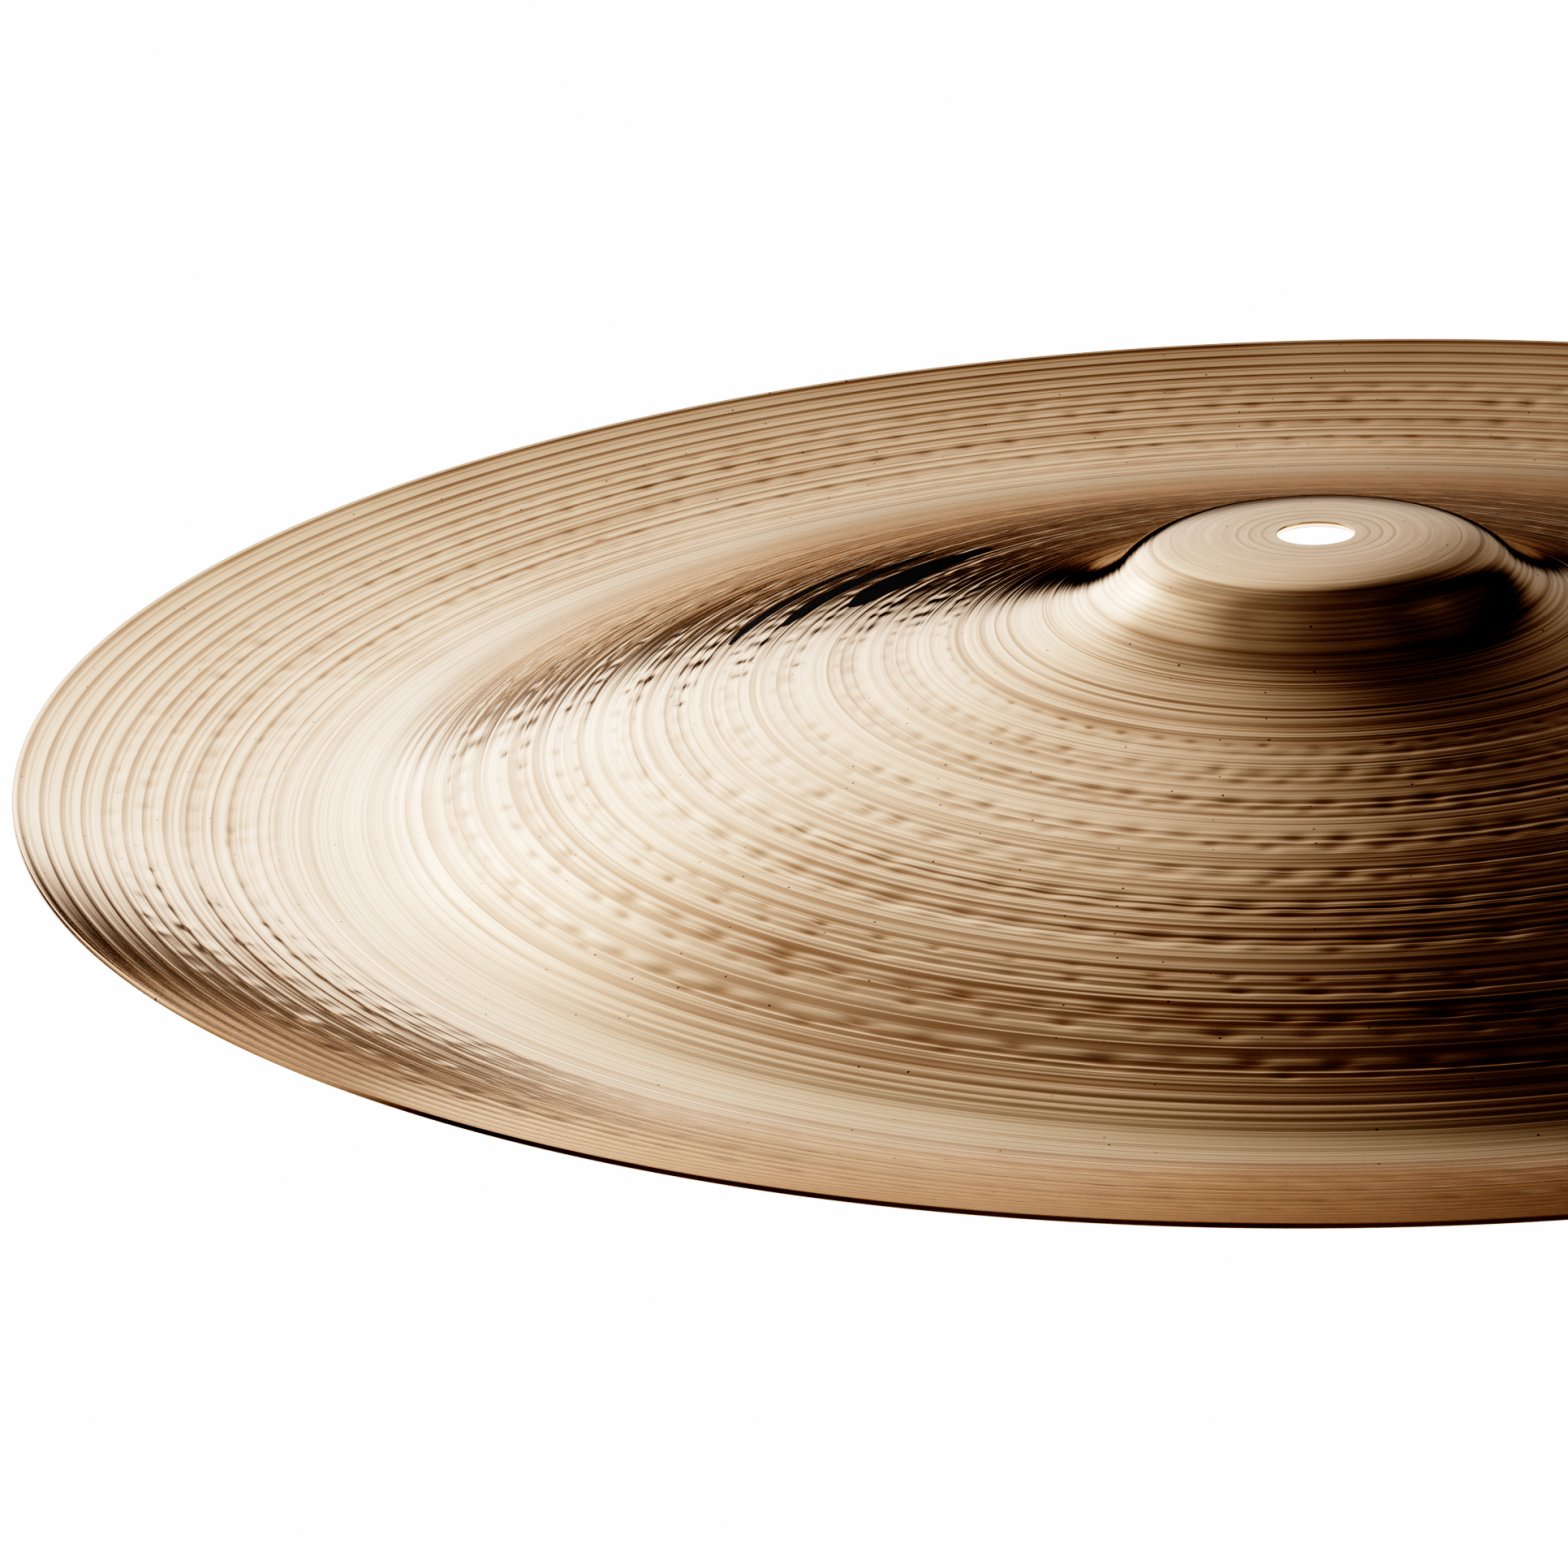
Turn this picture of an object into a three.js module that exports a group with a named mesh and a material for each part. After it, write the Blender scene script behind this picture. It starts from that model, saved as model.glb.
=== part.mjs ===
// An 18-inch China cymbal: one sheet of bronze, formed into a raised bell, a sloping bow and
// a flange that turns back up to the rim. A stand holds it by the hole in the bell. Off the
// stand it lies on the ring where the bow bends into the flange.
//
// Millimetres, +Z up along the axis of the hole, origin on that axis at the level of the ring.

import * as THREE from 'three';

// Driving dimensions
const DIAMETER = 457.2;
const HOLE_DIAMETER = 13.5;
const SEAT_DIAMETER = 28;
const BELL_THICKNESS = 1.0;
const RIM_THICKNESS = 0.8;

// How finely the round shapes are divided
const SEGMENTS_ROUND = 64;
const DEGREES_PER_STEP = 5;

const BRONZE = { color: 0xc8a374, roughness: 0.3, metalness: 1 };

// The slope of the flange at the rim, in degrees. The rim is cut square to the sheet, so its
// lower edge is the outermost point.
const RIM_SLOPE = 23.5;
const RIM_RADIUS = DIAMETER / 2 - RIM_THICKNESS * Math.sin(THREE.MathUtils.degToRad(RIM_SLOPE));

// The upper surface is a chain of arcs that meet tangent to tangent. A station is where two
// of them meet: its radius, and its slope in degrees, positive where the sheet climbs outwards.
const SEAT_EDGE = { radius: SEAT_DIAMETER / 2, slope: 0 };
const CROWN = { radius: 26, slope: -9 };
const SHOULDER = { radius: 34, slope: -41 };
const BELL_FOOT = { radius: 46, slope: -18.5 };
const INNER_BOW = { radius: 62, slope: -13 };
const MIDDLE_BOW = { radius: 90, slope: -10 };
const OUTER_BOW = { radius: 150, slope: -15.5 };
const BEND_START = { radius: 166, slope: -11 };
const LOWEST_RING = { radius: 175.5, slope: 0 };
const BEND_END = { radius: 184, slope: 10 };
const RIM = { radius: RIM_RADIUS, slope: RIM_SLOPE };
const STATIONS = [
  SEAT_EDGE, CROWN, SHOULDER, BELL_FOOT, INNER_BOW, MIDDLE_BOW,
  OUTER_BOW, BEND_START, LOWEST_RING, BEND_END, RIM,
];

// Follows the arc from the station `from`, at the height given, to the station `to`. Along an
// arc the sine of the slope is proportional to the radius, and the chord's slope is the mean
// of the slopes at its ends.
function arcPoints(from, to, height) {
  const steps = Math.ceil(Math.abs(to.slope - from.slope) / DEGREES_PER_STEP);
  const slopeFrom = THREE.MathUtils.degToRad(from.slope);
  const slopeTo = THREE.MathUtils.degToRad(to.slope);
  const points = [];
  for (let step = 1; step <= steps; step++) {
    const slope = THREE.MathUtils.lerp(slopeFrom, slopeTo, step / steps);
    const sineShare = (Math.sin(slope) - Math.sin(slopeFrom)) / (Math.sin(slopeTo) - Math.sin(slopeFrom));
    const radius = THREE.MathUtils.lerp(from.radius, to.radius, sineShare);
    const rise = (radius - from.radius) * Math.tan((slope + slopeFrom) / 2);
    points.push({ radius, height: height + rise, slope });
  }
  return points;
}

// The upper surface from the hole to the rim, with the seat at height 0.
function upperSurface() {
  const points = [
    { radius: HOLE_DIAMETER / 2, height: 0, slope: 0 },
    { radius: SEAT_EDGE.radius, height: 0, slope: 0 },
  ];
  for (let i = 1; i < STATIONS.length; i++) {
    points.push(...arcPoints(STATIONS[i - 1], STATIONS[i], points.at(-1).height));
  }
  return points;
}

// The sheet is even across the seat, and thins steadily from there to the rim.
function thicknessAt(radius) {
  return THREE.MathUtils.mapLinear(
    Math.max(radius, SEAT_EDGE.radius), SEAT_EDGE.radius, RIM.radius, BELL_THICKNESS, RIM_THICKNESS);
}

// The underside: each point of the upper surface moved one thickness square to the sheet.
function underside(upper) {
  return upper.map(({ radius, height, slope }) => new THREE.Vector2(
    radius + thicknessAt(radius) * Math.sin(slope),
    height - thicknessAt(radius) * Math.cos(slope),
  ));
}

function sheetGeometry() {
  const upper = upperSurface();
  const lower = underside(upper);
  const outline = [
    ...upper.map(({ radius, height }) => new THREE.Vector2(radius, height)),
    ...lower.reverse(),
  ];
  outline.push(outline[0].clone());
  const lowest = Math.min(...lower.map((point) => point.y));
  const geometry = new THREE.LatheGeometry(outline.reverse(), SEGMENTS_ROUND);
  geometry.translate(0, -lowest, 0);
  geometry.rotateX(Math.PI / 2);
  return geometry;
}

const cymbal = new THREE.Mesh(sheetGeometry(), new THREE.MeshStandardMaterial(BRONZE));
cymbal.name = 'cymbal';

const part = new THREE.Group();
part.add(cymbal);

export default part;
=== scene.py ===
"""The looks of an 18-inch China cymbal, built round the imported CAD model, in metres.

The CAD disc is replaced by a finely turned and hammered sheet of the same outline. The rings
that the lathe leaves and the marks of the hammer are real relief in its mesh.
"""

import math

import bmesh
import bpy
import numpy as np
from mathutils import Matrix, Vector


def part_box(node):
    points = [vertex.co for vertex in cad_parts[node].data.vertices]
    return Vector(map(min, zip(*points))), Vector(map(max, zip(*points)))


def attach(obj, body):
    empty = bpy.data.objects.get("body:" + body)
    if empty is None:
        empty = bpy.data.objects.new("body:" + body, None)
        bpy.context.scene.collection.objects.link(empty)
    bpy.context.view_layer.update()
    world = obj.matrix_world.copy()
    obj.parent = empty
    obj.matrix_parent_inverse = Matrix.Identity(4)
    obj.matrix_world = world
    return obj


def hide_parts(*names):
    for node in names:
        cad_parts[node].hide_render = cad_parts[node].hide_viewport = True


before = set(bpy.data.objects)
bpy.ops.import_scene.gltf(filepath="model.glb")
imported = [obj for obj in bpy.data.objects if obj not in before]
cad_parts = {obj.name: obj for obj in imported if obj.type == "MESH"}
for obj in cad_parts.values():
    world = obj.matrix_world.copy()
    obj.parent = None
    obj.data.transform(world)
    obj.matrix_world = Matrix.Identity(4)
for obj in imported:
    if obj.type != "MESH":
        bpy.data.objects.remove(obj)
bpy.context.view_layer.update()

MM = 0.001
TURN = 2 * math.pi
rng = np.random.default_rng(18)

# ---------------------------------------------------------------- driving dimensions

highest_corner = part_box("cymbal")[1]
OUTER_RADIUS = highest_corner.x
SEAT_HEIGHT = highest_corner.z
HOLE_RADIUS = 6.75 * MM
SEAT_RADIUS = 14 * MM
BELL_THICKNESS = 1.0 * MM
RIM_THICKNESS = 0.8 * MM
RIM_SLOPE = 23.5
RIM_RADIUS = OUTER_RADIUS - RIM_THICKNESS * math.sin(math.radians(RIM_SLOPE))
EDGE_ROUNDING = 0.12 * MM

# Where the arcs of the upper surface meet: radius, and slope in degrees, as in the CAD model.
STATIONS = [
    (SEAT_RADIUS, 0),       # edge of the seat
    (26 * MM, -9),          # crown of the bell
    (34 * MM, -41),         # shoulder of the bell
    (46 * MM, -18.5),       # foot of the bell
    (62 * MM, -13),
    (90 * MM, -10),
    (150 * MM, -15.5),
    (166 * MM, -11),        # start of the bend
    (175.5 * MM, 0),        # lowest ring
    (184 * MM, 10),         # end of the bend
    (RIM_RADIUS, RIM_SLOPE),
]

SEGMENTS = 1024
ANGLES = np.arange(SEGMENTS) * TURN / SEGMENTS
TOP_STEP = 0.2 * MM
UNDERSIDE_STEP = 0.5 * MM

# ---------------------------------------------------------------- the outline

station_radius = np.array([radius for radius, slope in STATIONS])
station_slope = np.radians([slope for radius, slope in STATIONS])
station_rise = np.diff(station_radius) * np.tan((station_slope[1:] + station_slope[:-1]) / 2)
station_height = SEAT_HEIGHT + np.concatenate([[0], np.cumsum(station_rise)])


def slope_at(radius):
    """Along an arc the sine of the slope is proportional to the radius."""
    return np.arcsin(np.interp(radius, station_radius, np.sin(station_slope)))


def height_at(radius):
    """Height of the smooth upper surface. A chord's slope is the mean of its ends' slopes."""
    arc = np.clip(np.searchsorted(station_radius, radius) - 1, 0, len(STATIONS) - 2)
    mean_slope = (station_slope[arc] + slope_at(radius)) / 2
    rise = (radius - station_radius[arc]) * np.tan(mean_slope)
    return station_height[arc] + np.where(radius < SEAT_RADIUS, 0, rise)


def thickness_at(radius):
    """The sheet is even across the seat, and thins steadily from there to the rim."""
    return np.interp(radius, [SEAT_RADIUS, RIM_RADIUS], [BELL_THICKNESS, RIM_THICKNESS])


# ---------------------------------------------------------------- what the lathe leaves

# All lengths in this section are in millimetres, and stains with their painted shade run from 0 to 1.
# Bands of turned lines: from radius, to radius, pitch, depth, and how much stain and painted shade
# the lines get.
TOP_BANDS = [
    (8, 29, 2.2, 0.005, 0.25),
    (29, 46, 0.9, 0.014, 0.6),
    (46, 62, 1.9, 0.028, 0.6),
    (62, 110, 2.1, 0.042, 0.85),
    (110, 168, 2.1, 0.050, 1.0),
    (46, 168, 0.9, 0.012, 0.4),
    (166, 180, 0.9, 0.007, 0.7),
    (178, 201, 1.1, 0.014, 0.9),
    (201, 227, 1.2, 0.006, 0.25),
]
UNDERSIDE_BANDS = [
    (16, 50, 1.8, 0.015, 0.5),
    (50, 226, 2.6, 0.035, 0.6),
]
# The widths of single lines and of the lands between them, as shares of the pitch, and how
# much their depths and their stains with painted shade vary.
LINE_WIDTHS = (0.3, 0.8)
LAND_WIDTHS = (0.1, 0.8)
LINE_DEPTHS = (0.3, 1.6)
LINE_STAINS_AND_SHADES = (0.2, 1)
# Lines that stand out: inner radius, width, depth, stain and painted shade.
STRONG_LINES = [
    (9.0, 0.5, 0.010, 0.6), (11.2, 0.5, 0.010, 0.6), (13.4, 0.6, 0.012, 0.6),
    (25.0, 0.4, 0.010, 0.4), (28.4, 0.3, 0.012, 0.7), (28.8, 0.4, 0.014, 0.7),
    (31.6, 0.4, 0.014, 0.6), (39.8, 0.6, 0.025, 0.9), (43.2, 0.4, 0.010, 0.5),
    (47.2, 0.4, 0.020, 0.9), (47.7, 0.4, 0.020, 0.9), (53.6, 0.8, 0.040, 1.0),
    (55.9, 0.6, 0.025, 0.8), (58.2, 1.0, 0.040, 0.9), (62.9, 0.8, 0.025, 0.7),
    (99.0, 1.1, 0.030, 0.8), (117.9, 1.0, 0.035, 0.9), (129.6, 1.4, 0.035, 0.8),
    (137.3, 1.6, 0.060, 1.0), (141.5, 1.4, 0.050, 0.9), (148.0, 1.6, 0.045, 0.8),
    (156.6, 1.4, 0.035, 0.7), (160.6, 1.2, 0.030, 0.7), (178.3, 2.0, 0.030, 0.5),
    (182.7, 1.8, 0.035, 0.6), (186.6, 0.9, 0.035, 0.7), (191.0, 1.5, 0.050, 0.8),
    (194.2, 1.1, 0.040, 0.7), (198.2, 1.6, 0.050, 0.8),
]
WIDE_GROOVE_FIRST = 201.7
WIDE_GROOVE_PITCH = 3.4
WIDE_GROOVE_COUNT = 8
WIDE_GROOVE_WIDTH = 1.9
WIDE_GROOVE_DEPTH = 0.040
WIDE_GROOVE_STAIN_AND_SHADE = 0.85
WIDE_GROOVE_SHIFT = 0.15
# A thin ridge, mostly clear of the stain and painted shade, stands in each wide groove.
RIDGE_PLACE = 0.35          # share of the groove's width
RIDGE_WIDTH = 0.2
RIDGE_HEIGHT = 0.018
RIDGE_CLEARING = 0.8
SCOOP_PEAK = 4 / 27         # the most that share ** 2 * (1 - share) reaches
STAIN_AND_SHADE_AT_START = 0.7        # of the stain and painted shade at the outer wall


class Turning:
    """The relief, and the stain with painted shade from 0 to 1, that cuts leave along a radius of the
    sheet.
    """

    def __init__(self, radius):
        self.radius_mm = radius / MM
        self.relief_mm = np.zeros_like(radius)
        self.stain_and_shade = np.zeros_like(radius)

    def cut(self, inner, width, depth, stain_and_shade):
        """A scoop that starts gently and ends in a steep outer wall."""
        share = np.clip((self.radius_mm - inner) / width, 0, 1)
        self.relief_mm -= depth / SCOOP_PEAK * share ** 2 * (1 - share)
        inside = (share > 0) & (share < 1)
        # The scoop is darkened: partly stain in the cut, partly painted shade in its hollow.
        own_stain_and_shade = stain_and_shade * (STAIN_AND_SHADE_AT_START + (1 - STAIN_AND_SHADE_AT_START) * share)
        self.stain_and_shade = np.where(inside, np.maximum(self.stain_and_shade, own_stain_and_shade), self.stain_and_shade)

    def bands(self, bands):
        for start, end, pitch, depth, stain_and_shade in bands:
            inner = start
            while inner < end:
                width = pitch * rng.uniform(*LINE_WIDTHS)
                own_depth = depth * rng.uniform(*LINE_DEPTHS)
                self.cut(inner, width, own_depth, stain_and_shade * rng.uniform(*LINE_STAINS_AND_SHADES))
                inner += width + pitch * rng.uniform(*LAND_WIDTHS)

    def wide_grooves(self):
        for number in range(WIDE_GROOVE_COUNT):
            shift = rng.uniform(-WIDE_GROOVE_SHIFT, WIDE_GROOVE_SHIFT)
            inner = WIDE_GROOVE_FIRST + number * WIDE_GROOVE_PITCH + shift
            self.cut(inner, WIDE_GROOVE_WIDTH, WIDE_GROOVE_DEPTH, WIDE_GROOVE_STAIN_AND_SHADE)
            from_ridge = self.radius_mm - inner - RIDGE_PLACE * WIDE_GROOVE_WIDTH
            ridge = np.exp(-(from_ridge / RIDGE_WIDTH) ** 2)
            self.relief_mm += RIDGE_HEIGHT * ridge
            self.stain_and_shade *= 1 - RIDGE_CLEARING * ridge


# ---------------------------------------------------------------- what the hammer leaves

# Rows of hammer marks: radius, marks in the row, length, width, depth, turn in degrees, stain and
# painted shade.
# Lengths are in millimetres.
HAMMER_ROWS = [
    (64.7, 63, 3.4, 1.4, 0.035, 0, 1.0),
    (66.8, 63, 4.0, 2.4, 0.045, 2, 0.08),
    (72.5, 63, 5.0, 3.6, 0.100, 0, 0.45),
    (75.5, 63, 4.0, 2.4, 0.050, 3, 0.45),
    (82.0, 64, 5.6, 4.0, 0.120, 1, 0.45),
    (84.5, 64, 4.4, 2.4, 0.050, 4, 0.6),
    (92.5, 65, 6.0, 4.2, 0.130, 2, 0.45),
    (95.5, 65, 4.6, 2.4, 0.060, 5, 0.45),
    (103.0, 66, 6.4, 4.2, 0.140, 0, 0.45),
    (105.5, 66, 4.8, 2.2, 0.060, 3, 0.6),
    (112.5, 67, 6.8, 4.4, 0.150, 1, 0.45),
    (115.0, 67, 5.0, 2.2, 0.065, 4, 0.6),
    (121.5, 69, 7.2, 4.4, 0.160, 2, 0.45),
    (124.0, 69, 5.0, 2.0, 0.065, 5, 0.68),
    (131.2, 71, 4.2, 1.9, 0.080, 0, 1.0),
    (134.4, 71, 5.5, 2.2, 0.090, 0.6, 1.0),
    (141.0, 73, 7.0, 3.4, 0.140, 1, 0.9),
    (144.8, 73, 6.0, 2.8, 0.100, 3, 0.9),
    (151.5, 75, 7.0, 3.2, 0.130, 2, 0.8),
    (154.0, 75, 5.0, 2.0, 0.065, 4, 0.8),
    (185.0, 130, 5.0, 3.0, 0.060, 1.3, 0.1),
    (189.0, 130, 5.0, 3.0, 0.080, 0, 0.2),
    (192.0, 130, 4.6, 1.8, 0.070, 0.4, 1.0),
    (198.4, 130, 5.0, 3.2, 0.130, 1, 0.6),
    (206.2, 130, 5.0, 3.2, 0.120, 2, 0.6),
    (211.6, 130, 4.6, 2.8, 0.080, 0.7, 0.2),
]
MARK_SHIFT_ACROSS = 0.3     # spread of a mark's radius, in millimetres
MARK_SHIFT_ALONG = 0.08     # spread along the row, as a share of the spacing
# Shares of the row's width, of its length, and of its depth and its stain and painted shade.
MARK_WIDTHS = (0.8, 1.25)
MARK_LENGTHS = (0.75, 1.2)
MARK_STRENGTHS = (0.4, 1.5)
DENT_STEEPNESS = 1.4
DENT_STAIN_AND_SHADE_POWER = 1.5
DENT_REACH = 2              # a dent is cut off at this many half widths and half lengths


def hammer_marks(radius):
    """The relief, and the stain with painted shade, of the hammer marks on a grid of radii and
    angles.
    """
    relief = np.zeros((len(radius), SEGMENTS))
    stain_and_shade = np.zeros_like(relief)
    for row_radius, marks, length, width, depth, turn, row_stain_and_shade in HAMMER_ROWS:
        spacing = TURN / marks
        for mark in range(marks):
            centre = (row_radius + rng.normal(0, MARK_SHIFT_ACROSS)) * MM
            heading = (mark + rng.normal(0, MARK_SHIFT_ALONG)) * spacing + math.radians(turn)
            half_width = width * MM * rng.uniform(*MARK_WIDTHS) / 2
            half_length = length * MM * rng.uniform(*MARK_LENGTHS) / 2
            strength = rng.uniform(*MARK_STRENGTHS)
            reach = np.array([-DENT_REACH, DENT_REACH]) * half_width
            first, last = np.searchsorted(radius, centre + reach)
            span = math.ceil(DENT_REACH * half_length / centre / TURN * SEGMENTS) + 1
            middle = round(heading / TURN * SEGMENTS)
            columns = np.arange(middle - span, middle + span + 1)
            along = (columns * TURN / SEGMENTS - heading) * centre / half_length
            across = (radius[first:last] - centre) / half_width
            dent = np.exp(-DENT_STEEPNESS * (across[:, None] ** 2 + along[None, :] ** 2))
            columns = columns % SEGMENTS
            relief[first:last, columns] -= depth * MM * strength * dent
            # Each dent is darkened: partly stain, partly painted shade in its hollow.
            stain_and_shade[first:last, columns] += row_stain_and_shade * min(strength, 1) * dent ** DENT_STAIN_AND_SHADE_POWER
    return relief, np.clip(stain_and_shade, 0, 1)


# ---------------------------------------------------------------- the sheet

RIM_PAINTED_SHADE = 1.0             # painted shade: the cut face of the rim is as brown as the deepest grooves
RELIEF_FADE = 1 * MM        # turned relief fades out this close to the cut edges
CORNER_START = 15
CORNER_STEPS = 4


def ring_surface(radius, height):
    """A grid of points on circles round the axis: one row for each radius and height."""
    x = radius[:, None] * np.cos(ANGLES)
    y = radius[:, None] * np.sin(ANGLES)
    z = np.broadcast_to(height.reshape(len(radius), -1), x.shape)
    return np.stack([x, y, z], axis=-1)


def grid_mesh(name, points, stain_and_shade):
    """A closed mesh from rings of points; the last ring joins the first."""
    rings, segments = points.shape[:2]
    mesh = bpy.data.meshes.new(name)
    mesh.vertices.add(rings * segments)
    mesh.vertices.foreach_set("co", points.astype(np.float32).ravel())
    ring = np.arange(rings)[:, None]
    segment = np.arange(segments)[None, :]
    next_ring = (ring + 1) % rings
    next_segment = (segment + 1) % segments
    corners = np.stack([
        ring * segments + segment,
        next_ring * segments + segment,
        next_ring * segments + next_segment,
        ring * segments + next_segment,
    ], axis=-1).reshape(-1)
    faces = rings * segments
    mesh.loops.add(faces * 4)
    mesh.polygons.add(faces)
    mesh.loops.foreach_set("vertex_index", corners.astype(np.int32))
    mesh.polygons.foreach_set("loop_start", np.arange(faces, dtype=np.int32) * 4)
    mesh.update(calc_edges=True)
    mesh.validate()
    mesh.polygons.foreach_set("use_smooth", np.ones(faces, dtype=bool))
    # This attribute carries the stain and the painted shade to the bronze's colour.
    attribute = mesh.attributes.new("stain_and_shade", "FLOAT", "POINT")
    attribute.data.foreach_set("value", stain_and_shade.astype(np.float32).ravel())
    return mesh


def cut_edge(thickness):
    """A cut edge with rounded corners: offsets across the sheet, and outwards from its cut.

    The rings of the face beside it lead up to the corner, so its steps don't start at 0 degrees.
    """
    turn = np.radians(np.linspace(CORNER_START, 90, CORNER_STEPS))
    across = EDGE_ROUNDING * (1 - np.cos(turn))
    outwards = EDGE_ROUNDING * (np.sin(turn) - 1)
    return (
        np.concatenate([across, thickness - across[::-1]]),
        np.concatenate([outwards, outwards[::-1]]),
    )


def top_grid():
    """Radii of the rings on the upper side, and height, and stain with painted shade, at every point
    of them.
    """
    radius = np.arange(HOLE_RADIUS + EDGE_ROUNDING, RIM_RADIUS - EDGE_ROUNDING, TOP_STEP)
    turning = Turning(radius)
    turning.bands(TOP_BANDS)
    for line in STRONG_LINES:
        turning.cut(*line)
    turning.wide_grooves()
    marks, mark_stain_and_shade = hammer_marks(radius)
    from_edge = np.minimum(radius - HOLE_RADIUS, RIM_RADIUS - radius)
    fade = np.clip(from_edge / RELIEF_FADE, 0, 1)
    height = height_at(radius) + turning.relief_mm * MM * fade
    stain_and_shade = 1 - (1 - turning.stain_and_shade[:, None]) * (1 - mark_stain_and_shade)
    return radius, height[:, None] + marks, stain_and_shade


def under_grid():
    """The underside: rings of points, and the stain with painted shade along its radius."""
    radius = np.arange(HOLE_RADIUS + EDGE_ROUNDING, RIM_RADIUS - EDGE_ROUNDING, UNDERSIDE_STEP)
    turning = Turning(radius)
    turning.bands(UNDERSIDE_BANDS)
    slope = slope_at(radius)
    depth = thickness_at(radius) + turning.relief_mm * MM
    return ring_surface(
        radius + depth * np.sin(slope),
        height_at(radius) - depth * np.cos(slope),
    ), turning.stain_and_shade


def make_sheet(top_radius, top_height, top_stain_and_shade):
    under, under_stain_and_shade = under_grid()
    rim_slope = math.radians(RIM_SLOPE)
    rim_height = float(height_at(np.array([RIM_RADIUS]))[0])
    across, outwards = cut_edge(RIM_THICKNESS)
    rim = ring_surface(
        RIM_RADIUS + across * math.sin(rim_slope) + outwards * math.cos(rim_slope),
        rim_height - across * math.cos(rim_slope) + outwards * math.sin(rim_slope),
    )
    across, outwards = cut_edge(BELL_THICKNESS)
    bore = ring_surface(HOLE_RADIUS - outwards, SEAT_HEIGHT - across)

    points = np.concatenate([ring_surface(top_radius, top_height), rim, under[::-1], bore[::-1]])
    stain_and_shade = np.zeros(points.shape[:2])
    first_rim = len(top_radius)
    first_under = first_rim + len(rim)
    stain_and_shade[:first_rim] = top_stain_and_shade
    # The cut face of the rim is darkened with painted shade.
    stain_and_shade[first_rim:first_under] = RIM_PAINTED_SHADE
    stain_and_shade[first_under:first_under + len(under)] = under_stain_and_shade[::-1, None]
    sheet = bpy.data.objects.new("cymbal_bronze", grid_mesh("cymbal_bronze", points, stain_and_shade))
    bpy.context.scene.collection.objects.link(sheet)
    return sheet


# ---------------------------------------------------------------- the printed emblem

# Three arcs round the bell: radius in millimetres, where each starts and ends in degrees, and
# its width in the middle, in millimetres.
EMBLEM_ARCS = [(90, 133, 160, 8.5), (100.5, 136, 165, 4.5), (108.5, 141, 169, 2.5)]
INK_THICKNESS = 0.02 * MM
INK_DEPTH = 0.06 * MM
ARC_STEPS = 240
ARC_COLUMNS = 24
ARC_TIP = 0.03              # half width at the tips, as a share of that in the middle
ARC_BLUNTNESS = 0.4         # the smaller, the blunter the ends of the arcs


def height_on_top(radius, angle, top_radius, top_height):
    """Height of the finished upper side between its grid points."""
    ring = (radius - top_radius[0]) / TOP_STEP
    column = angle / TURN * SEGMENTS
    low_ring = np.floor(ring).astype(int)
    low_column = np.floor(column).astype(int)
    ring_share = ring - low_ring
    column_share = column - low_column
    inner = top_height[low_ring, low_column] * (1 - column_share) + (
        top_height[low_ring, low_column + 1] * column_share)
    outer = top_height[low_ring + 1, low_column] * (1 - column_share) + (
        top_height[low_ring + 1, low_column + 1] * column_share)
    return inner * (1 - ring_share) + outer * ring_share


def make_emblem(top_radius, top_height):
    """Each arc is a thin closed strip that follows the relief, and sinks a little into it."""
    vertices = []
    faces = []
    loop = 2 * ARC_COLUMNS
    for arc_radius, start, end, width in EMBLEM_ARCS:
        share = np.linspace(0, 1, ARC_STEPS)
        half_width = width * MM / 2 * (ARC_TIP + np.sin(math.pi * share) ** ARC_BLUNTNESS)
        angle = np.repeat(np.radians(start + (end - start) * share)[:, None], ARC_COLUMNS, axis=1)
        radius = arc_radius * MM + half_width[:, None] * np.linspace(-1, 1, ARC_COLUMNS)
        height = height_on_top(radius, angle, top_radius, top_height)
        x = radius * np.cos(angle)
        y = radius * np.sin(angle)
        upper = np.stack([x, y, height + INK_THICKNESS], axis=-1)
        lower = np.stack([x, y, height - INK_DEPTH], axis=-1)
        first = len(vertices)
        vertices.extend(np.concatenate([upper, lower[:, ::-1]], axis=1).reshape(-1, 3).tolist())
        for step in range(ARC_STEPS - 1):
            for corner in range(loop):
                here = first + step * loop
                after = (corner + 1) % loop
                faces.append((here + corner, here + loop + corner, here + loop + after, here + after))
        faces.append(tuple(first + corner for corner in range(loop)))
        last = first + (ARC_STEPS - 1) * loop
        faces.append(tuple(last + corner for corner in reversed(range(loop))))
    mesh = bpy.data.meshes.new("emblem_ink")
    mesh.from_pydata(vertices, [], faces)
    mesh.validate()
    emblem = bpy.data.objects.new("emblem_ink", mesh)
    bpy.context.scene.collection.objects.link(emblem)
    return emblem


# ---------------------------------------------------------------- shader helpers

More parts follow.
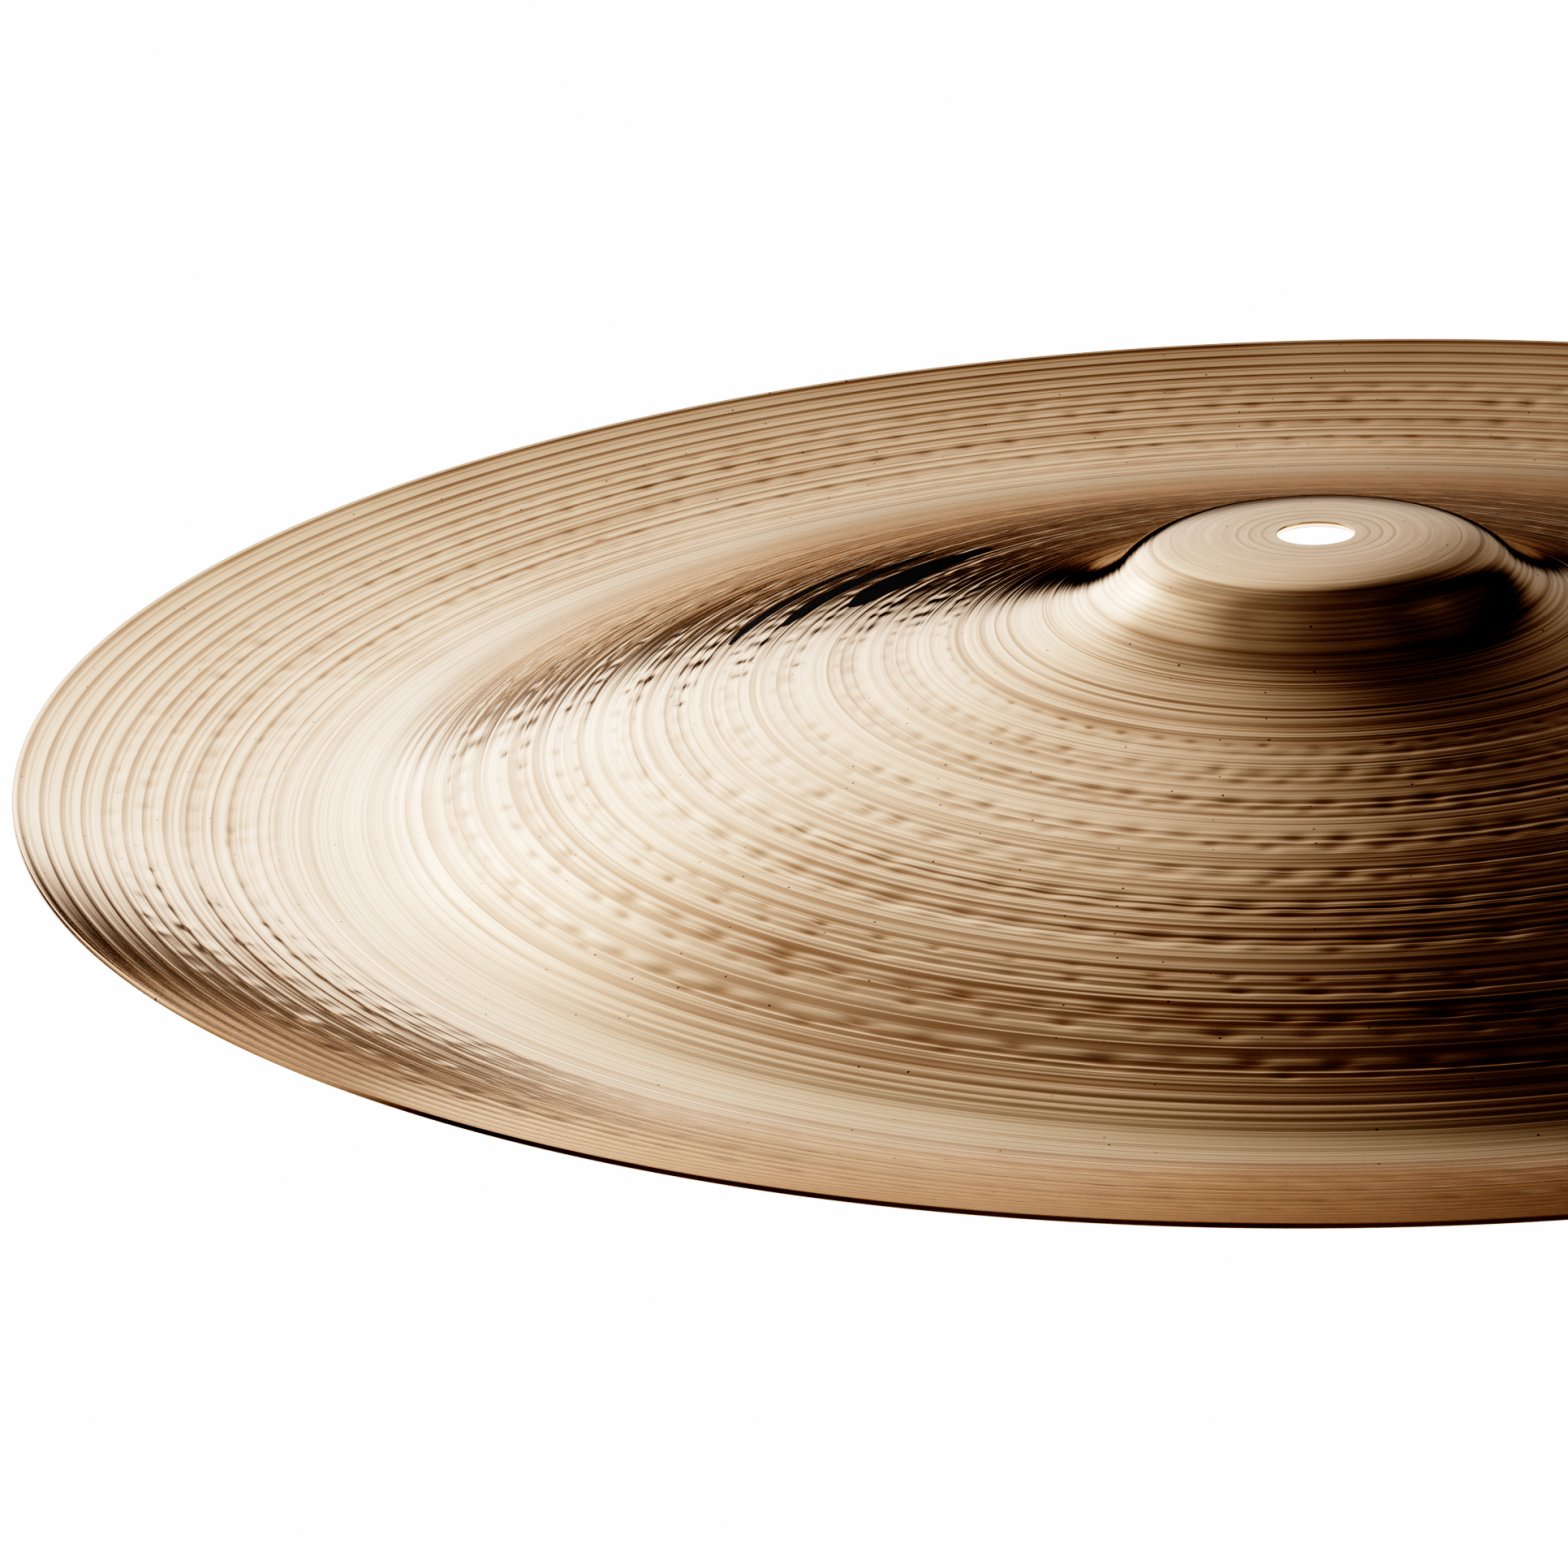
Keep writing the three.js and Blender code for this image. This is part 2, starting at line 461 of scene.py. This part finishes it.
class Nodes:
    """Adds shader nodes to a tree, and links their inputs."""

    def __init__(self, tree):
        self.tree = tree

    def add(self, kind, inputs=None, **settings):
        node = self.tree.nodes.new(kind)
        for key, value in settings.items():
            setattr(node, key, value)
        for key, value in (inputs or {}).items():
            if isinstance(value, bpy.types.NodeSocket):
                self.tree.links.new(value, node.inputs[key])
            else:
                node.inputs[key].default_value = value
        return node

    def math(self, operation, *values):
        node = self.add("ShaderNodeMath", dict(enumerate(values)), operation=operation)
        return node.outputs[0]

    def noise(self, place, scale, detail, roughness):
        node = self.add("ShaderNodeTexNoise", {
            "Vector": place, "Scale": scale, "Detail": detail, "Roughness": roughness,
        })
        return node.outputs[0]

    def smooth(self, value, low, high):
        """0 below `low`, 1 above `high`, and a smooth rise between."""
        node = self.add(
            "ShaderNodeMapRange",
            {"Value": value, "From Min": low, "From Max": high},
            interpolation_type="SMOOTHSTEP",
        )
        return node.outputs[0]

    def mix(self, factor, first, second):
        node = self.add("ShaderNodeMix", {"Factor": factor}, data_type="RGBA")
        for socket, value in ((node.inputs[6], first), (node.inputs[7], second)):
            if isinstance(value, bpy.types.NodeSocket):
                self.tree.links.new(value, socket)
            else:
                socket.default_value = (*value, 1)
        return node.outputs[2]


def new_material(name):
    material = bpy.data.materials.new(name)
    material.use_nodes = True
    material.node_tree.nodes.clear()
    return material, Nodes(material.node_tree)


# ---------------------------------------------------------------- bronze

BRONZE = (0.94, 0.73, 0.56)
BRONZE_DULL = (0.74, 0.56, 0.42)
BRONZE_STAINED_AND_SHADED = (0.41, 0.265, 0.18)
BRONZE_BEND = (0.79, 0.63, 0.48)
# The bend is brushed smooth, and greyer than the rest.
BEND_FINISH_FROM = 167 * MM
BEND_FINISH_TO = 177 * MM
BEND_FINISH_SOFTNESS = 5 * MM
# The turning tool chatters in the deeper cuts, and leaves faint ticks across them, so many a turn.
CHATTER_TICKS = 940
CHATTER_DEPTH = 0.1         # against the fine noise
BUMP_DISTANCE = 0.000014
SPECK = (0.10, 0.05, 0.03)
SPECK_CELLS = 130.0         # a metre
SPECK_SIZE = 0.027          # radius of the largest, as a share of a cell
SPECK_STRENGTH = 0.8
STREAKS_DULL = 0.45         # how much of the dull colour the streaks and the clouds bring
CLOUDS_DULL = 0.2
STAIN_AND_SHADE_STRENGTH = 0.9
STAIN_AND_SHADE_CLOUDS = 0.9          # how much the clouds make the stain and painted shade uneven
STAIN_AND_SHADE_EVEN = 0.35
ROUGHNESS = 0.135
ROUGHNESS_IN_STAIN_AND_SHADE = 0.06    # this and the next two are added to it
ROUGHNESS_BEND = 0.06
ROUGHNESS_STREAKS = 0.03
ANISOTROPY = 0.7
RINGS_SPREAD = 500.0        # packs the noise so closely along the radius that it makes rings


def make_bronze():
    material, nodes = new_material("turned_bronze")
    place = nodes.add("ShaderNodeTexCoord").outputs["Object"]
    parts = nodes.add("ShaderNodeSeparateXYZ", {0: place})
    x, y = parts.outputs[0], parts.outputs[1]
    radius = nodes.math("SQRT", nodes.math("MULTIPLY_ADD", x, x, nodes.math("MULTIPLY", y, y)))
    around = nodes.add("ShaderNodeCombineXYZ", {
        0: nodes.math("DIVIDE", x, radius),
        1: nodes.math("DIVIDE", y, radius),
        2: nodes.math("MULTIPLY", radius, RINGS_SPREAD),
    }).outputs[0]

    streaks = nodes.noise(around, 2.5, 5.0, 0.7)
    fine = nodes.noise(around, 6.0, 2.0, 0.5)
    clouds = nodes.noise(place, 30.0, 4.0, 0.5)
    stain_and_shade = nodes.add("ShaderNodeAttribute", attribute_name="stain_and_shade").outputs["Fac"]
    uneven = nodes.math("MULTIPLY_ADD", clouds, STAIN_AND_SHADE_CLOUDS, STAIN_AND_SHADE_EVEN)
    stain_and_shade = nodes.math("MULTIPLY", stain_and_shade, uneven)

    dull = nodes.math("MULTIPLY", nodes.smooth(streaks, 0.42, 0.75), STREAKS_DULL)
    bend = nodes.math(
        "MULTIPLY",
        nodes.smooth(radius, BEND_FINISH_FROM - BEND_FINISH_SOFTNESS, BEND_FINISH_FROM),
        nodes.smooth(radius, BEND_FINISH_TO + BEND_FINISH_SOFTNESS, BEND_FINISH_TO),
    )
    colour = nodes.mix(bend, BRONZE, BRONZE_BEND)
    colour = nodes.mix(dull, colour, BRONZE_DULL)
    cloudy = nodes.math("MULTIPLY", nodes.smooth(clouds, 0.4, 0.75), CLOUDS_DULL)
    colour = nodes.mix(cloudy, colour, BRONZE_DULL)
    # Darkens the bronze where the mask says: stain in cuts and dents, and painted shade there and on
    # the rim's cut face.
    colour = nodes.mix(nodes.math("MULTIPLY", stain_and_shade, STAIN_AND_SHADE_STRENGTH), colour, BRONZE_STAINED_AND_SHADED)

    cells = nodes.add(
        "ShaderNodeTexVoronoi", {"Vector": place, "Scale": SPECK_CELLS}, voronoi_dimensions="2D")
    chosen = nodes.add("ShaderNodeSeparateXYZ", {0: cells.outputs["Color"]})
    size = nodes.math("MULTIPLY", nodes.smooth(chosen.outputs[0], 0.5, 1.0), SPECK_SIZE)
    speck = nodes.math("LESS_THAN", cells.outputs["Distance"], size)
    colour = nodes.mix(nodes.math("MULTIPLY", speck, SPECK_STRENGTH), colour, SPECK)

    angle = nodes.math("ARCTAN2", y, x)
    ticks = nodes.math("SINE", nodes.math("MULTIPLY", angle, float(CHATTER_TICKS)))
    chatter = nodes.math("MULTIPLY", stain_and_shade, nodes.smooth(streaks, 0.45, 0.6))
    ticks = nodes.math("MULTIPLY", ticks, chatter)
    relief = nodes.math("MULTIPLY_ADD", ticks, CHATTER_DEPTH, fine)
    bump = nodes.add("ShaderNodeBump", {
        "Height": relief, "Strength": 1.0, "Distance": BUMP_DISTANCE,
    })
    roughness = nodes.math("MULTIPLY_ADD", stain_and_shade, ROUGHNESS_IN_STAIN_AND_SHADE, ROUGHNESS)
    roughness = nodes.math("MULTIPLY_ADD", bend, ROUGHNESS_BEND, roughness)
    roughness = nodes.math("MULTIPLY_ADD", streaks, ROUGHNESS_STREAKS, roughness)
    tangent = nodes.add("ShaderNodeTangent", direction_type="RADIAL", axis="Z")
    shader = nodes.add("ShaderNodeBsdfPrincipled", {
        "Base Color": colour,
        "Metallic": 1.0,
        "Roughness": roughness,
        "Anisotropic": ANISOTROPY,
        "Anisotropic Rotation": 0.25,
        "Normal": bump.outputs[0],
        "Tangent": tangent.outputs[0],
    })
    nodes.add("ShaderNodeOutputMaterial", {"Surface": shader.outputs[0]})
    return material


INK = (0.012, 0.010, 0.009)
INK_WORN = (0.06, 0.05, 0.04)


def make_ink():
    material, nodes = new_material("printed_ink")
    place = nodes.add("ShaderNodeTexCoord").outputs["Object"]
    wear = nodes.noise(place, 900.0, 4.0, 0.5)
    worn = nodes.smooth(wear, 0.5, 0.8)
    bump = nodes.add("ShaderNodeBump", {"Height": wear, "Strength": 0.4, "Distance": 0.00001})
    shader = nodes.add("ShaderNodeBsdfPrincipled", {
        "Base Color": nodes.mix(worn, INK, INK_WORN),
        "Roughness": nodes.math("MULTIPLY_ADD", worn, 0.2, 0.42),
        "Normal": bump.outputs[0],
    })
    nodes.add("ShaderNodeOutputMaterial", {"Surface": shader.outputs[0]})
    return material


# ---------------------------------------------------------------- studio

# The camera looks at the near left of the disc, from a little above.
CAMERA_DISTANCE = 0.8836        # from the middle of the rim's plane
CAMERA_ELEVATION = 18.68
CAMERA_PAN = 6.51
CAMERA_TILT = -19.72
CAMERA_ROLL = -3.12
CAMERA_LENS = 114.6


def make_camera():
    rim_height = float(height_at(np.array([RIM_RADIUS]))[0])
    elevation = math.radians(CAMERA_ELEVATION)
    data = bpy.data.cameras.new("camera")
    data.lens = CAMERA_LENS
    data.sensor_width = 36
    camera = bpy.data.objects.new("camera", data)
    bpy.context.scene.collection.objects.link(camera)
    place = Vector((
        0,
        -CAMERA_DISTANCE * math.cos(elevation),
        rim_height + CAMERA_DISTANCE * math.sin(elevation),
    ))
    camera.matrix_world = (
        Matrix.Translation(place)
        @ Matrix.Rotation(math.radians(CAMERA_PAN), 4, "Z")
        @ Matrix.Rotation(math.radians(90 + CAMERA_TILT), 4, "X")
        @ Matrix.Rotation(math.radians(CAMERA_ROLL), 4, "Z")
    )
    bpy.context.scene.camera = camera


# The cymbal hangs inside a dark dome with soft glowing patches on it, which the camera doesn't
# see. Each patch: heading clockwise from +Y, half width, softness of the sides, lowest and
# highest edge, softness of the top, all in degrees, and brightness.
DOME_RADIUS = 0.8
DOME_FOOT = -6.5
SOFT_BOXES = [
    (300, 25, 40, 5, 60, 40, 0.40),
    (345, 12, 35, 10, 55, 40, 0.50),
    (15, 20, 20, 5, 45, 70, 0.20),
    (315, 25, 20, 10, 30, 45, 0.55),
    (315, 10, 15, 20, 35, 15, 0.35),
    (270, 20, 15, 0, 35, 25, 0.45),     # this and the rest are mainly for other views
    (105, 25, 15, 0, 45, 25, 0.50),
    (65, 20, 20, 20, 60, 20, 0.07),
    (180, 85, 30, 40, 55, 20, 0.55),
    (180, 60, 25, 0, 40, 20, 0.12),
]
LOW_SOFTNESS = 8
# Overhead the patches give way to an even light, brighter towards the left.
OVERHEAD_FROM = 45
PATCHES_FADE = 58
OVERHEAD_FULL = 80
OVERHEAD_LEFT = 0.27
OVERHEAD_RIGHT = 0.10
OVERHEAD_LEFT_END = -0.75       # this and the next are shares of the dome's radius along X
OVERHEAD_RIGHT_END = 0.15


def make_dome():
    material, nodes = new_material("studio_dome")
    place = nodes.add("ShaderNodeTexCoord").outputs["Object"]
    direction = nodes.add("ShaderNodeVectorMath", {0: place}, operation="NORMALIZE").outputs[0]
    parts = nodes.add("ShaderNodeSeparateXYZ", {0: direction})
    elevation = nodes.math("DEGREES", nodes.math("ARCSINE", parts.outputs[2]))
    total = 0.0
    for heading, half_width, side_softness, low, high, top_softness, brightness in SOFT_BOXES:
        turned = nodes.add("ShaderNodeVectorRotate", {
            "Vector": direction, "Angle": math.radians(heading),
        }, rotation_type="Z_AXIS")
        own = nodes.add("ShaderNodeSeparateXYZ", {0: turned.outputs[0]})
        aside = nodes.math("DEGREES", nodes.math("ARCTAN2", own.outputs[0], own.outputs[1]))
        aside = nodes.math("ABSOLUTE", aside)
        box = nodes.smooth(aside, half_width + side_softness / 2, half_width - side_softness / 2)
        bottom = nodes.smooth(elevation, low - LOW_SOFTNESS / 2, low + LOW_SOFTNESS / 2)
        box = nodes.math("MULTIPLY", box, bottom)
        top = nodes.smooth(elevation, high + top_softness / 2, high - top_softness / 2)
        box = nodes.math("MULTIPLY", box, top)
        total = nodes.math("MULTIPLY_ADD", box, brightness, total)
    total = nodes.math("MULTIPLY", total, nodes.smooth(elevation, OVERHEAD_FULL, PATCHES_FADE))
    side = nodes.smooth(parts.outputs[0], OVERHEAD_RIGHT_END, OVERHEAD_LEFT_END)
    overhead_light = nodes.math("MULTIPLY_ADD", side, OVERHEAD_LEFT - OVERHEAD_RIGHT, OVERHEAD_RIGHT)
    overhead = nodes.smooth(elevation, OVERHEAD_FROM, OVERHEAD_FULL)
    total = nodes.math("MULTIPLY_ADD", overhead, overhead_light, total)
    glow = nodes.add("ShaderNodeEmission", {"Strength": total})
    nodes.add("ShaderNodeOutputMaterial", {"Surface": glow.outputs[0]})
    material.cycles.emission_sampling = "NONE"

    shape = bmesh.new()
    bmesh.ops.create_uvsphere(shape, u_segments=128, v_segments=96, radius=DOME_RADIUS)
    foot = DOME_RADIUS * math.sin(math.radians(DOME_FOOT))
    low = [corner for corner in shape.verts if corner.co.z < foot]
    bmesh.ops.delete(shape, geom=low, context="VERTS")
    mesh = bpy.data.meshes.new("dome")
    shape.to_mesh(mesh)
    shape.free()
    dome = bpy.data.objects.new("dome", mesh)
    bpy.context.scene.collection.objects.link(dome)
    mesh.materials.append(material)
    mesh.polygons.foreach_set("use_smooth", [True] * len(mesh.polygons))
    dome.visible_camera = False
    dome.visible_shadow = False


FLOOR_DROP = 0.6                # the cymbal hangs this far above the floor
FLOOR_RADIUS = 5
BACKDROP_RADIUS = 12
WHITE = 0.92
SHADE = 0.12                    # how bright the bronze sees the floor straight below
SHADE_RADII = (0.1, 2.0)        # from here to here the shade clears


def glowing_material(name, brightness, clear_behind=False):
    """An even glow. With `clear_behind` the back of the surface lets the view through."""
    material, nodes = new_material(name)
    glow = nodes.add("ShaderNodeEmission", {"Color": (1, 1, 1, 1), "Strength": brightness}).outputs[0]
    if clear_behind:
        behind = nodes.add("ShaderNodeNewGeometry").outputs["Backfacing"]
        clear = nodes.add("ShaderNodeBsdfTransparent").outputs[0]
        glow = nodes.add("ShaderNodeMixShader", {0: behind, 1: glow, 2: clear}).outputs[0]
    nodes.add("ShaderNodeOutputMaterial", {"Surface": glow})
    return material


def make_floor():
    bpy.ops.mesh.primitive_circle_add(
        vertices=96, radius=FLOOR_RADIUS, fill_type="NGON", location=(0, 0, -FLOOR_DROP))
    floor = bpy.context.object
    floor.name = "floor"
    floor.data.materials.append(glowing_material("pale_floor", WHITE, clear_behind=True))
    floor.visible_glossy = False


def make_floor_glow():
    """What the bronze sees of the floor: pale, and dim straight below the cymbal."""
    material, nodes = new_material("floor_glow")
    place = nodes.add("ShaderNodeTexCoord").outputs["Object"]
    distance = nodes.add("ShaderNodeVectorMath", {0: place}, operation="LENGTH").outputs["Value"]
    open_floor = nodes.smooth(distance, *SHADE_RADII)
    strength = nodes.math("MULTIPLY_ADD", open_floor, WHITE - SHADE, SHADE)
    glow = nodes.add("ShaderNodeEmission", {"Strength": strength})
    nodes.add("ShaderNodeOutputMaterial", {"Surface": glow.outputs[0]})
    bpy.ops.mesh.primitive_circle_add(
        vertices=96, radius=FLOOR_RADIUS, fill_type="NGON", location=(0, 0, -FLOOR_DROP + MM))
    floor_glow = bpy.context.object
    floor_glow.name = "floor_glow"
    floor_glow.data.materials.append(material)
    floor_glow.visible_camera = False
    floor_glow.visible_shadow = False


def make_backdrop():
    """A plain pale shell all round, which only the camera sees."""
    bpy.ops.mesh.primitive_uv_sphere_add(segments=64, ring_count=32, radius=BACKDROP_RADIUS)
    backdrop = bpy.context.object
    backdrop.name = "backdrop"
    backdrop.data.materials.append(glowing_material("pale_backdrop", WHITE))
    backdrop.visible_diffuse = False
    backdrop.visible_glossy = False
    backdrop.visible_transmission = False
    backdrop.visible_shadow = False


# A contrasty print: what is under BLACK_POINT turns black, and the highlights roll off softly.
BLACK_POINT = 0.05
CONTRAST = 1.97
SHOULDER = 0.055
CURVE_STEPS = 24
CURVE_CROWDING = 1.5            # above 1, the curve's points crowd towards the darks


def printed(light):
    rise = max(light - BLACK_POINT, 0) / (1 - BLACK_POINT)
    power = rise ** CONTRAST
    return (1 + SHOULDER) * power / (power + SHOULDER)


def set_contrast():
    view = bpy.context.scene.view_settings
    view.view_transform = "Standard"
    view.use_curve_mapping = True
    curve = view.curve_mapping.curves[3]
    for step in range(1, CURVE_STEPS):
        light = (step / CURVE_STEPS) ** CURVE_CROWDING
        curve.points.new(light, printed(light))
    view.curve_mapping.update()


# ---------------------------------------------------------------- scene

make_camera()
make_dome()
make_floor()
make_floor_glow()
make_backdrop()
set_contrast()

top_radius, top_height, top_stain_and_shade = top_grid()
sheet = make_sheet(top_radius, top_height, top_stain_and_shade)
sheet.data.materials.append(make_bronze())
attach(sheet, "root")
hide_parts("cymbal")

emblem = make_emblem(top_radius, top_height)
emblem.data.materials.append(make_ink())
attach(emblem, "root")
